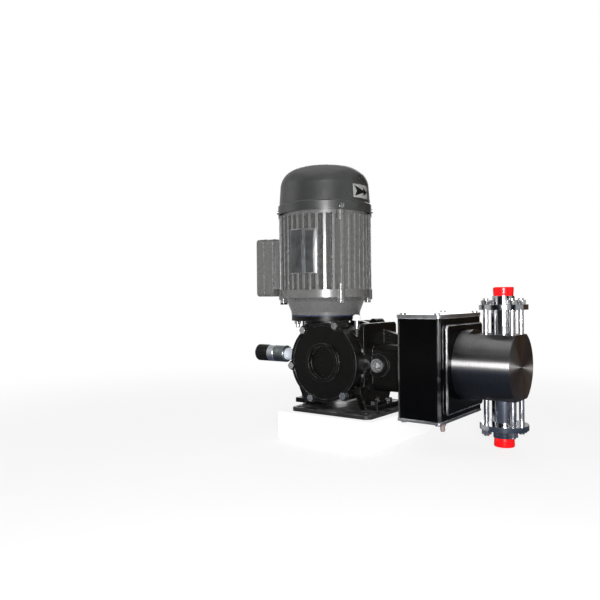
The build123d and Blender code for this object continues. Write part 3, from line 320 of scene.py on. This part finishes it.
def paintMaterial(name, s):
    look = paintLook
    m, n, p = startMaterial(name)
    edge = useGroup(n, softEdge, Radius=s["edgeRadius"], Spread=s.get("edgeSpread", look["edgeSpread"]))
    gloss = n.math("MULTIPLY_ADD", edge.outputs["Edge"], s.get("edgeSpecular", 0.0), s["specular"])
    n.put(p["Specular IOR Level"], gloss)
    grain = useGroup(n, castGrain, Fine=s["fine"], Slow=s["slow"])
    dust = useGroup(n, settledDust, Amount=s["dustAmount"])
    # edges take the edge colour in patches: worn paint, and on the gloss box a painted highlight
    wearAndHighlight = n.math("MULTIPLY", edge.outputs["Edge"], n.ramp(grain.outputs["Mask"], look["wearAndHighlightFrom"], look["wearAndHighlightTo"]))
    tone = n.mix(wearAndHighlight, grey(1, s["colour"]), grey(1, s["edge"]))
    tone = n.mix(dust.outputs["Mask"], tone, grey(1, s["dust"]))
    n.put(p["Base Color"], tone)
    half = s["roughSpread"] / 2
    rough = n.ramp(grain.outputs["Mask"], 0.3, 0.7, s["rough"] - half, s["rough"] + half)
    n.put(p["Roughness"], n.math("ADD", rough, n.math("MULTIPLY", dust.outputs["Mask"], look["dustRough"])))
    n.put(p["Normal"], n.bump(grain.outputs["Height"], s["grain"], look["bump"], edge.outputs["Normal"]))
    return m


metals = {
    "zincSteel": dict(colour=(0.74, 0.74, 0.75), dark=(0.56, 0.56, 0.57), rough=0.25, edgeRadius=0.0004,
                      height=0.00003),
    "groundSteel": dict(colour=(0.55, 0.55, 0.56), dark=(0.38, 0.38, 0.39), rough=0.25, edgeRadius=0.0003,
                        height=0.00002),
    "plateSteel": dict(colour=(0.48, 0.48, 0.49), dark=(0.42, 0.42, 0.43), rough=0.38, edgeRadius=0.0006,
                       height=0.00003),
    "coreSteel": dict(colour=(0.30, 0.30, 0.31), dark=(0.18, 0.18, 0.19), rough=0.5, edgeRadius=0.0003,
                      height=0.00006),
    "anodisedLight": dict(colour=(0.62, 0.64, 0.68), dark=(0.48, 0.5, 0.54), rough=0.34, edgeRadius=0.0004,
                          height=0.00002),
    "anodisedGrey": dict(colour=(0.25, 0.28, 0.29), dark=(0.17, 0.19, 0.2), rough=0.36, edgeRadius=0.0004,
                         height=0.00002),
    "wheelBronze": dict(colour=(0.55, 0.36, 0.14), dark=(0.32, 0.2, 0.08), rough=0.32, edgeRadius=0.0003,
                        height=0.00003),
    "windingCopper": dict(colour=(0.52, 0.2, 0.08), dark=(0.28, 0.09, 0.04), rough=0.35, edgeRadius=0.0003,
                          height=0.0002),
    "castIron": dict(colour=(0.20, 0.20, 0.21), dark=(0.12, 0.12, 0.125), rough=0.5, edgeRadius=0.0004,
                     height=0.0001),
}


metalLook = {"stretch": (1.0, 1.0, 0.12), "scratch": 700.0, "fine": 700.0, "slow": 110.0, "less": 0.06, "more": 0.1,
             "bump": 0.5}


def metalMaterial(name, s):
    look = metalLook
    m, n, p = startMaterial(name, Metallic=1.0)
    edge = useGroup(n, softEdge, Radius=s["edgeRadius"])
    scratches = useGroup(n, fineScratches, Stretch=look["stretch"], Scale=look["scratch"])
    grain = useGroup(n, castGrain, Fine=look["fine"], Slow=look["slow"])
    tone = n.mix(n.ramp(grain.outputs["Mask"], 0.35, 0.65), grey(1, s["colour"]), grey(1, s["dark"]))
    n.put(p["Base Color"], n.mix(edge.outputs["Edge"], tone, grey(1, s["colour"])))
    rough = n.ramp(scratches.outputs["Mask"], 0.0, 1.0, s["rough"] - look["less"], s["rough"] + look["more"])
    n.put(p["Roughness"], rough)
    n.put(p["Normal"], n.bump(scratches.outputs["Height"], s["height"], look["bump"], edge.outputs["Normal"]))
    return m


plastics = {
    "capRed": dict(colour=(0.86, 0.004, 0.006), dark=(0.74, 0.003, 0.005), rough=0.22, specular=0.35,
                   grain=0.00004),
    "knobBlack": dict(colour=(0.0035, 0.0035, 0.0038), dark=(0.006, 0.006, 0.0065), rough=0.36, specular=0.17,
                      grain=0.00008),
    "breatherWhite": dict(colour=(0.78, 0.79, 0.80), dark=(0.66, 0.67, 0.70), rough=0.35, specular=0.5,
                          grain=0.00003),
    # white of the three lobed piece behind the sight glass, a painted reflection
    "glintWhite": dict(colour=(0.85, 0.86, 0.86), dark=(0.70, 0.71, 0.72), rough=0.3, specular=0.5,
                           grain=0.00002),
    "plateDark": dict(colour=(0.040, 0.042, 0.043), dark=(0.022, 0.023, 0.024), rough=0.36, specular=0.45,
                      grain=0.00002),
    "fanPlastic": dict(colour=(0.02, 0.02, 0.02), dark=(0.035, 0.035, 0.035), rough=0.5, specular=0.4,
                       grain=0.00006),
    "gasketBlue": dict(colour=(0.012, 0.02, 0.06), dark=(0.006, 0.01, 0.035), rough=0.5, specular=0.4,
                       grain=0.00005),
    "sealRubber": dict(colour=(0.012, 0.012, 0.012), dark=(0.02, 0.02, 0.02), rough=0.6, specular=0.3,
                       grain=0.00006),
    "nippleBrown": dict(colour=(0.19, 0.15, 0.135), dark=(0.10, 0.08, 0.07), rough=0.4, specular=0.45,
                        grain=0.00006),
}


plasticLook = {"edgeRadius": 0.0004, "fine": 1500.0, "slow": 70.0, "share": 0.5, "less": 0.05, "more": 0.07,
               "bump": 0.6, "printGrain": 0.00003}


def plasticGrain(n):
    return useGroup(n, castGrain, Fine=plasticLook["fine"], Slow=plasticLook["slow"], Share=plasticLook["share"])


def plasticSkin(n, p, grain, rough, height, normal=None):
    # the gloss and the fine grain that the plastics, the scale and the label share
    look = plasticLook
    n.put(p["Roughness"], n.ramp(grain.outputs["Mask"], 0.3, 0.7, rough - look["less"], rough + look["more"]))
    n.put(p["Normal"], n.bump(grain.outputs["Height"], height, look["bump"], normal))


def plasticMaterial(name, s):
    m, n, p = startMaterial(name, Specular_IOR_Level=s["specular"])
    edge = useGroup(n, softEdge, Radius=plasticLook["edgeRadius"])
    grain = plasticGrain(n)
    patches = n.ramp(grain.outputs["Mask"], 0.4, 0.65)
    n.put(p["Base Color"], n.mix(patches, grey(1, s["colour"]), grey(1, s["dark"])))
    plasticSkin(n, p, grain, s["rough"], s["grain"], edge.outputs["Normal"])
    return m


turned = {
    "headSteel": dict(centre=(0.0, 0.018, 0.0625), keep=(0.0, 1.0, 1.0), along=(1.0, 0.0, 0.0), pitch=0.00035,
                      colour=(0.205, 0.202, 0.203), dark=(0.175, 0.172, 0.173), rough=0.32, anisotropic=1.0,
                      height=0.00001, edgeRadius=0.0006),
    "valveSteel": dict(centre=(0.1865, 0.018, 0.0), keep=(1.0, 1.0, 0.0), along=(0.0, 0.0, 1.0), pitch=0.0006,
                       colour=(0.56, 0.57, 0.60), dark=(0.48, 0.49, 0.52), rough=0.11, anisotropic=0.2,
                       height=0.000004, edgeRadius=0.0004),
}


# stains on turned steel, and how far its gloss goes either way
turnedLook = {"fine": 260.0, "slow": 26.0, "stainFrom": 0.52, "stainTo": 0.7, "stain": 0.5, "stainTone": 0.7,
              "less": 0.05, "more": 0.08, "bump": 0.35}


def turnedMaterial(name, s):
    look = turnedLook
    m, n, p = startMaterial(name, Metallic=1.0, Anisotropic=s["anisotropic"])
    edge = useGroup(n, softEdge, Radius=s["edgeRadius"])
    lathe = useGroup(n, latheMarks, Centre=s["centre"], Keep=s["keep"], Along=s["along"], Pitch=s["pitch"])
    stain = useGroup(n, castGrain, Fine=look["fine"], Slow=look["slow"])
    tone = n.mix(n.ramp(lathe.outputs["Band"], 0.35, 0.65), grey(1, s["colour"]), grey(1, s["dark"]))
    stained = n.ramp(stain.outputs["Mask"], look["stainFrom"], look["stainTo"], 0.0, look["stain"])
    tone = n.mix(stained, tone, grey(look["stainTone"], s["dark"]))
    n.put(p["Base Color"], tone)
    rough = n.ramp(lathe.outputs["Height"], 0.3, 0.7, s["rough"] - look["less"], s["rough"] + look["more"])
    n.put(p["Roughness"], rough)
    n.put(p["Normal"], n.bump(lathe.outputs["Height"], s["height"], look["bump"], edge.outputs["Normal"]))
    n.put(p["Tangent"], lathe.outputs["Tangent"])
    return m


lens = {"clear": 0.9, "bend": 1.46, "fine": 300.0, "slow": 60.0, "smooth": 0.02, "dull": 0.09}


def glassMaterial(s):
    m, n, p = startMaterial("lensGlass", Metallic=0.0, Transmission_Weight=s["clear"], IOR=s["bend"])
    grain = useGroup(n, castGrain, Fine=s["fine"], Slow=s["slow"])
    n.put(p["Base Color"], n.mix(grain.outputs["Mask"], grey(0.9), grey(0.96, (0.97, 1.0, 1.0))))
    n.put(p["Roughness"], n.ramp(grain.outputs["Mask"], 0.3, 0.7, s["smooth"], s["dull"]))
    return m


scaleMarks = {"pitch": 0.002, "width": 0.22, "ground": (0.74, 0.76, 0.79), "ink": (0.16, 0.27, 0.50), "rough": 0.32,
              "sideGap": 0.003}


def scaleMaterial(name, s):
    # pale tube with fine ring marks on the side that faces the user
    m, n, p = startMaterial(name, Specular_IOR_Level=0.5)
    edge = useGroup(n, softEdge, Radius=plasticLook["edgeRadius"])
    grain = plasticGrain(n)
    place = n.add("ShaderNodeSeparateXYZ")
    n.join(n.add("ShaderNodeTexCoord").outputs["Object"], place.inputs[0])
    turn = n.math("FRACT", n.math("DIVIDE", place.outputs["X"], s["pitch"]))
    line = n.math("LESS_THAN", n.math("ABSOLUTE", n.math("SUBTRACT", turn, 0.5)), s["width"] / 2)
    side = n.math("LESS_THAN", place.outputs["Y"], pump["plungerY"] - s["sideGap"])
    n.put(p["Base Color"], n.mix(n.math("MULTIPLY", line, side), grey(1, s["ground"]), grey(1, s["ink"])))
    plasticSkin(n, p, grain, s["rough"], plasticLook["printGrain"], edge.outputs["Normal"])
    return m


arrowSign = {"tailEnd": -0.0165, "waist": -0.0015, "headBack": 0.0005, "tip": 0.0105, "middleZ": 0.2768,
             "tailHalf": 0.0068, "waistHalf": 0.0019, "headHalf": 0.0056, "fork": 0.6,
             "ground": (0.26, 0.265, 0.26), "ink": (0.004, 0.004, 0.004), "rough": 0.4}


def arrowMaterial(name, s):
    # label with a dark turning arrow, drawn by the place along and across it
    m, n, p = startMaterial(name, Specular_IOR_Level=0.4)
    place = n.add("ShaderNodeSeparateXYZ")
    n.join(n.add("ShaderNodeTexCoord").outputs["Object"], place.inputs[0])
    along = place.outputs["Y"]
    across = n.math("ABSOLUTE", n.math("SUBTRACT", place.outputs["Z"], s["middleZ"]))

    def straight(low, high, newLow, newHigh):
        r = n.add("ShaderNodeMapRange")
        n.join(along, r.inputs["Value"])
        for key, v in (("From Min", low), ("From Max", high), ("To Min", newLow), ("To Max", newHigh)):
            r.inputs[key].default_value = v
        return r.outputs["Result"]

    tail = straight(s["tailEnd"], s["waist"], s["tailHalf"], s["waistHalf"])
    head = straight(s["headBack"], s["tip"], s["headHalf"], 0.0)
    inHead = n.math("GREATER_THAN", along, s["headBack"])
    inTail = n.math("SUBTRACT", 1.0, inHead)
    half = n.math("ADD", n.math("MULTIPLY", head, inHead), n.math("MULTIPLY", tail, inTail))
    inside = n.math("LESS_THAN", across, half)
    forkAt = n.math("SUBTRACT", s["tailEnd"] + s["tailHalf"] * s["fork"], n.math("MULTIPLY", across, s["fork"]))
    inside = n.math("MULTIPLY", inside, n.math("GREATER_THAN", along, forkAt))
    grain = plasticGrain(n)
    n.put(p["Base Color"], n.mix(inside, grey(1, s["ground"]), grey(1, s["ink"])))
    plasticSkin(n, p, grain, s["rough"], plasticLook["printGrain"])
    return m


finish = {}
for key, s in paints.items():
    finish[key] = paintMaterial(key, s)
for key, s in metals.items():
    finish[key] = metalMaterial(key, s)
for key, s in plastics.items():
    finish[key] = plasticMaterial(key, s)
for key, s in turned.items():
    finish[key] = turnedMaterial(key, s)
finish["lensGlass"] = glassMaterial(lens)
finish["neckScale"] = scaleMaterial("neckScale", scaleMarks)
finish["turningArrow"] = arrowMaterial("turningArrow", arrowSign)

finishOf = {
    "gearboxBlack": ["gear_housing", "near_side_cover", "far_side_cover"],
    "baseBlack": ["base_plate"],
    "boxGloss": ["guard_box", "box_front_plate"],
    "motorGrey": ["motor_frame", "lower_end_shield", "upper_end_shield", "terminal_box", "terminal_lid"],
    "cowlGrey": ["fan_cowl"],
    "zincSteel": ["housing_screws", "motor_tie_bolts", "flange_studs", "motor_screws", "box_screws", "head_screws",
                  "valve_tie_bolts"],
    "groundSteel": ["worm_shaft", "wheel_shaft", "stop_pin", "stop_spindle", "ball_bearings", "suction_ball",
                    "discharge_ball", "valve_seats", "eccentric", "return_spring", "plunger"],
    "plateSteel": ["box_top_plate", "box_bottom_plate", "breather_pipe", "sight_glass_ring"],
    "coreSteel": ["stator_core", "rotor_core"],
    "anodisedLight": ["scale_ring"],
    "anodisedGrey": ["stroke_sleeve"],
    "wheelBronze": ["worm_wheel"],
    "windingCopper": ["stator_windings"],
    "castIron": ["crosshead", "packing_gland"],
    "capRed": ["port_caps"],
    "knobBlack": ["stroke_knob", "cable_gland", "drain_plug"],
    "neckScale": ["stop_neck"],
    "breatherWhite": ["breather_plug"],
    "fanPlastic": ["cooling_fan", "terminal_board"],
    "gasketBlue": ["motor_gasket"],
    "sealRubber": ["oil_seals", "packing_rings"],
    "nippleBrown": ["drip_nipple"],
    "headSteel": ["pump_head"],
    "valveSteel": ["suction_valve_body", "discharge_valve_body", "clamp_plates"],
    "lensGlass": ["sight_glass_lens"],
}
for key, members in finishOf.items():
    for name in members:
        slots = nodes[name].data.materials
        slots.clear()
        slots.append(finish[key])
print("finishes ready:", len(finish), "materials,", sum(map(len, finishOf.values())), "nodes")


stage = {"floorZ": -0.036, "floorSize": 14.0, "floorThick": 0.01, "plinthEdge": 0.012, "plinthRound": 0.003,
         "nearR": 0.30, "farR": 1.0, "nearGlow": 0.8, "glossLevel": 0.5, "tones": (0.86, 0.90), "toneScale": 3.0}


def stageMaterial(name, s):
    m = bpy.data.materials.new(name)
    m.use_nodes = True
    m.node_tree.nodes.clear()
    n = Nodes(m.node_tree)
    place = n.add("ShaderNodeTexCoord").outputs["Object"]
    diffuse = n.add("ShaderNodeBsdfDiffuse")
    tone = n.noise(place, s["toneScale"], 2.0)
    n.put(diffuse.inputs["Color"], n.mix(tone, *(grey(v) for v in s["tones"])))
    light = n.add("ShaderNodeLightPath")
    straight = n.math("MAXIMUM", light.outputs["Is Camera Ray"], light.outputs["Is Transmission Ray"])
    seen = n.math("MAXIMUM", straight, light.outputs["Is Glossy Ray"])
    glow = n.add("ShaderNodeEmission")
    glow.inputs["Color"].default_value = grey(1.0)
    n.put(glow.inputs["Strength"], n.math("MAXIMUM", straight, s["glossLevel"]))
    far = n.ramp(n.vector("LENGTH", place), s["nearR"], s["farR"], s["nearGlow"], 1.0)
    mixer = n.add("ShaderNodeMixShader")
    n.put(mixer.inputs[0], n.math("MULTIPLY", far, seen))
    n.join(diffuse.outputs[0], mixer.inputs[1])
    n.join(glow.outputs[0], mixer.inputs[2])
    out = n.add("ShaderNodeOutputMaterial")
    n.join(mixer.outputs[0], out.inputs["Surface"])
    return m


def deselectAll():
    bpy.ops.object.select_all(action="DESELECT")


def bakePlace(piece):
    # the object's place goes into its mesh, so its origin is the frame's
    deselectAll()
    piece.select_set(True)
    bpy.context.view_layer.objects.active = piece
    bpy.ops.object.transform_apply(location=True, rotation=True, scale=True)
    return piece


def addBlock(name, low, high):
    deselectAll()
    middle = [(a + b) / 2 for a, b in zip(low, high)]
    bpy.ops.mesh.primitive_cube_add(size=1.0, location=middle)
    piece = bpy.context.object
    piece.name = name
    piece.scale = [b - a for a, b in zip(low, high)]
    return bakePlace(piece)


sharpAngle = 40.0


def roundEdges(piece, width, segments=3):
    mod = piece.modifiers.new("round", "BEVEL")
    mod.width = width
    mod.segments = segments
    mod.limit_method = "ANGLE"
    mod.angle_limit = radians(sharpAngle)
    bpy.context.view_layer.objects.active = piece
    bpy.ops.object.modifier_apply(modifier=mod.name)
    return piece


def makeStage(s):
    half = s["floorSize"] / 2
    floor = addBlock("floor", (-half, -half, s["floorZ"] - s["floorThick"]), (half, half, s["floorZ"]))
    low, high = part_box("base_plate")
    e = s["plinthEdge"]
    plinth = addBlock("plinth", (low.x - e, low.y - e, s["floorZ"]), (high.x + e, high.y + e, low.z))
    roundEdges(plinth, s["plinthRound"])
    paint = stageMaterial("paleStage", s)
    for piece in (floor, plinth):
        piece.data.materials.append(paint)


makeStage(stage)

# dark boards round the pump, seen only in reflections
boards = {
    "backBoard": dict(middle=(0.66, 1.18, 0.40), size=(1.8, 0.02, 1.9), turn=-20.0,
                      colour=(0.12, 0.088, 0.065)),
    "leftBoard": dict(middle=(-0.36, -1.45, 0.40), size=(2.0, 0.02, 1.6), turn=20.0,
                      colour=(0.010, 0.011, 0.013)),
    "rightBoard": dict(middle=(1.35, -0.55, 0.40), size=(0.02, 0.55, 1.6), turn=-14.0,
                       colour=(0.012, 0.02, 0.035)),
    "lowBoard": dict(middle=(0.20, -0.20, -0.033), size=(1.0, 1.10, 0.002), turn=0.0,
                     colour=(0.085, 0.10, 0.14)),
    "farBoard": dict(middle=(0.62, 0.86, -0.033), size=(0.9, 0.9, 0.002), turn=0.0,
                     colour=(0.24, 0.105, 0.040)),
}
boardTones = {"scale": 4.0, "low": 0.7, "high": 1.6}


def makeBoards():
    for name, s in boards.items():
        m = bpy.data.materials.new(name)
        m.use_nodes = True
        m.node_tree.nodes.clear()
        n = Nodes(m.node_tree)
        cloth = n.add("ShaderNodeBsdfDiffuse")
        place = n.add("ShaderNodeTexCoord").outputs["Object"]
        tone = n.noise(place, boardTones["scale"], 2.0)
        low, high = (grey(boardTones[k], s["colour"]) for k in ("low", "high"))
        n.put(cloth.inputs["Color"], n.mix(tone, low, high))
        out = n.add("ShaderNodeOutputMaterial")
        n.join(cloth.outputs[0], out.inputs["Surface"])
        deselectAll()
        turn = (0.0, 0.0, radians(s["turn"]))
        bpy.ops.mesh.primitive_cube_add(size=1.0, location=s["middle"], rotation=turn)
        board = bpy.context.object
        board.name = name
        board.scale = s["size"]
        bakePlace(board)
        board.data.materials.append(m)
        board.visible_camera = False
        board.visible_diffuse = False
        board.visible_shadow = False


makeBoards()


def finishPiece(piece, finishName, body="pump_frame", smooth=35.0):
    deselectAll()
    piece.select_set(True)
    bpy.context.view_layer.objects.active = piece
    bpy.ops.object.shade_smooth_by_angle(angle=radians(smooth))
    piece.data.materials.clear()
    piece.data.materials.append(finish[finishName])
    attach(piece, body)
    return piece


def between(ends, share):
    return ends[0] + (ends[1] - ends[0]) * share


# how far an edge is rounded, as a share of the sheet's thickness or the screw's radius
roundShare = {"sheet": 0.3, "screw": 0.14}


def addWrap(name, s):
    # thin sheet laid round the motor: angles from the near side towards the pump head, in degrees
    deselectAll()
    bpy.ops.mesh.primitive_grid_add(x_subdivisions=s.get("steps", 24), y_subdivisions=2, size=1.0)
    piece = bpy.context.object
    piece.name = name
    for v in piece.data.vertices:
        u, w = v.co.x + 0.5, v.co.y + 0.5
        angle = radians(between(s["angles"], u))
        radius = between(s["radii"], w)
        v.co = (pump["motorX"] + radius * sin(angle), -radius * cos(angle), between(s["heights"], w))
    wall = piece.modifiers.new("wall", "SOLIDIFY")
    wall.thickness = s["thick"]
    wall.offset = 1.0
    bpy.context.view_layer.objects.active = piece
    bpy.ops.object.modifier_apply(modifier=wall.name)
    return roundEdges(piece, s["thick"] * roundShare["sheet"], 2)


finPlate = {"angles": (-9.9, 25.3), "radii": (0.0611, 0.0611), "heights": (0.1726, 0.2290), "thick": 0.0007}
finPlatePanels = [
    {"angles": (-9.0, 6.6), "radii": (0.0617, 0.0617), "heights": (0.1738, 0.2278), "thick": 0.0006, "steps": 12},
    {"angles": (11.8, 21.6), "radii": (0.0617, 0.0617), "heights": (0.1738, 0.2262), "thick": 0.0006, "steps": 8},
]
finishPiece(addWrap("finPlate", finPlate), "plateSteel")
for number, panel in enumerate(finPlatePanels):
    finishPiece(addWrap("finPlatePanel" + str(number + 1), panel), "plateDark")

arrowLabel = {"angles": (72.0, 101.0), "radii": (0.06018, 0.05890), "heights": (0.2682, 0.2855), "thick": 0.00025,
              "steps": 20}
finishPiece(addWrap("arrowLabel", arrowLabel), "turningArrow")
print("plate and label ready")

# small hexagon screws on the near edge of the housing's flange
flangeScrews = {"x": 0.0305, "y": -0.034, "heights": (0.0770, 0.0625, 0.0470), "radius": 0.0030, "rise": 0.0026}


def addHexScrew(name, place, radius, rise):
    deselectAll()
    turn = (radians(90), 0.0, 0.0)
    bpy.ops.mesh.primitive_cylinder_add(vertices=6, radius=radius, depth=rise, location=place, rotation=turn)
    piece = bpy.context.object
    piece.name = name
    bakePlace(piece)
    return roundEdges(piece, radius * roundShare["screw"], 2)


def addFlangeScrews(s):
    for number, z in enumerate(s["heights"]):
        place = (s["x"], s["y"] - s["rise"] / 2, z)
        screw = addHexScrew("flangeScrew" + str(number + 1), place, s["radius"], s["rise"])
        finishPiece(screw, "zincSteel")


addFlangeScrews(flangeScrews)

# white three lobed piece behind the sight glass, a painted reflection in the glass
sightGlint = {"place": (0.0430, -0.01695, 0.0585), "radius": 0.0040, "lobe": 0.22, "lobeTurn": 0.5, "thick": 0.0006,
             "round": 0.0002, "corners": 48}


# a white disc with three lobes that stands in for the reflection in the sight glass
def addSightGlint(s):
    deselectAll()
    bpy.ops.mesh.primitive_cylinder_add(vertices=s["corners"], radius=s["radius"], depth=s["thick"])
    piece = bpy.context.object
    piece.name = "paintedSightGlint"
    for v in piece.data.vertices:
        flat = Vector((v.co.x, v.co.y))
        angle = flat.angle_signed(Vector((1.0, 0.0)), 0.0)
        flat *= 1.0 - s["lobe"] + s["lobe"] * cos(3 * angle + s["lobeTurn"])
        v.co = (flat.x, flat.y, v.co.z)
    piece.rotation_euler = (radians(90), 0.0, 0.0)
    piece.location = s["place"]
    bakePlace(piece)
    return roundEdges(piece, s["round"], 2)


finishPiece(addSightGlint(sightGlint), "glintWhite")
print("screws and reflector ready")

lamps = {
    "flash": dict(place=(0.53, -0.78, 0.17), aim=(0.08, 0.0, 0.12), size=0.14, tall=0.20, power=13.0),
    "overhead": dict(place=(-0.10, -0.10, 1.20), aim=(0.05, 0.0, 0.1), size=1.1, power=2.6),
    "sideFill": dict(place=(-0.95, -0.55, 0.45), aim=(0.0, 0.0, 0.12), size=0.7, power=0.8),
    "backFill": dict(place=(-0.60, 1.00, 0.60), aim=(0.0, 0.0, 0.12), size=0.8, power=6.0),
}
worldLight = {"lightLevel": 0.15, "seenLevel": 1.0, "glossLevel": 0.5}


def makeLamps():
    for name, s in lamps.items():
        data = bpy.data.lights.new(name, "AREA")
        data.shape = "RECTANGLE"
        data.size = s["size"]
        data.size_y = s.get("tall", s["size"])
        data.energy = s["power"]
        lamp = bpy.data.objects.new(name, data)
        bpy.context.scene.collection.objects.link(lamp)
        lamp.visible_camera = False
        lamp.location = s["place"]
        toAim = Vector(s["aim"]) - Vector(s["place"])
        lamp.rotation_euler = toAim.to_track_quat("-Z", "Y").to_euler()
    world = bpy.data.worlds.new("world")
    bpy.context.scene.world = world
    world.use_nodes = True
    world.node_tree.nodes.clear()
    n = Nodes(world.node_tree)
    light = n.add("ShaderNodeLightPath")
    straight = n.math("MAXIMUM", light.outputs["Is Camera Ray"], light.outputs["Is Transmission Ray"])
    back = n.add("ShaderNodeBackground")
    back.inputs["Color"].default_value = grey(1.0)
    level = worldLight["lightLevel"]
    strength = n.math("MULTIPLY_ADD", straight, worldLight["seenLevel"] - level, level)
    strength = n.math("MULTIPLY_ADD", light.outputs["Is Glossy Ray"], worldLight["glossLevel"] - level, strength)
    n.put(back.inputs["Strength"], strength)
    out = n.add("ShaderNodeOutputWorld")
    n.join(back.outputs[0], out.inputs["Surface"])


makeLamps()
print("stage and light ready")

print("pieces ready")
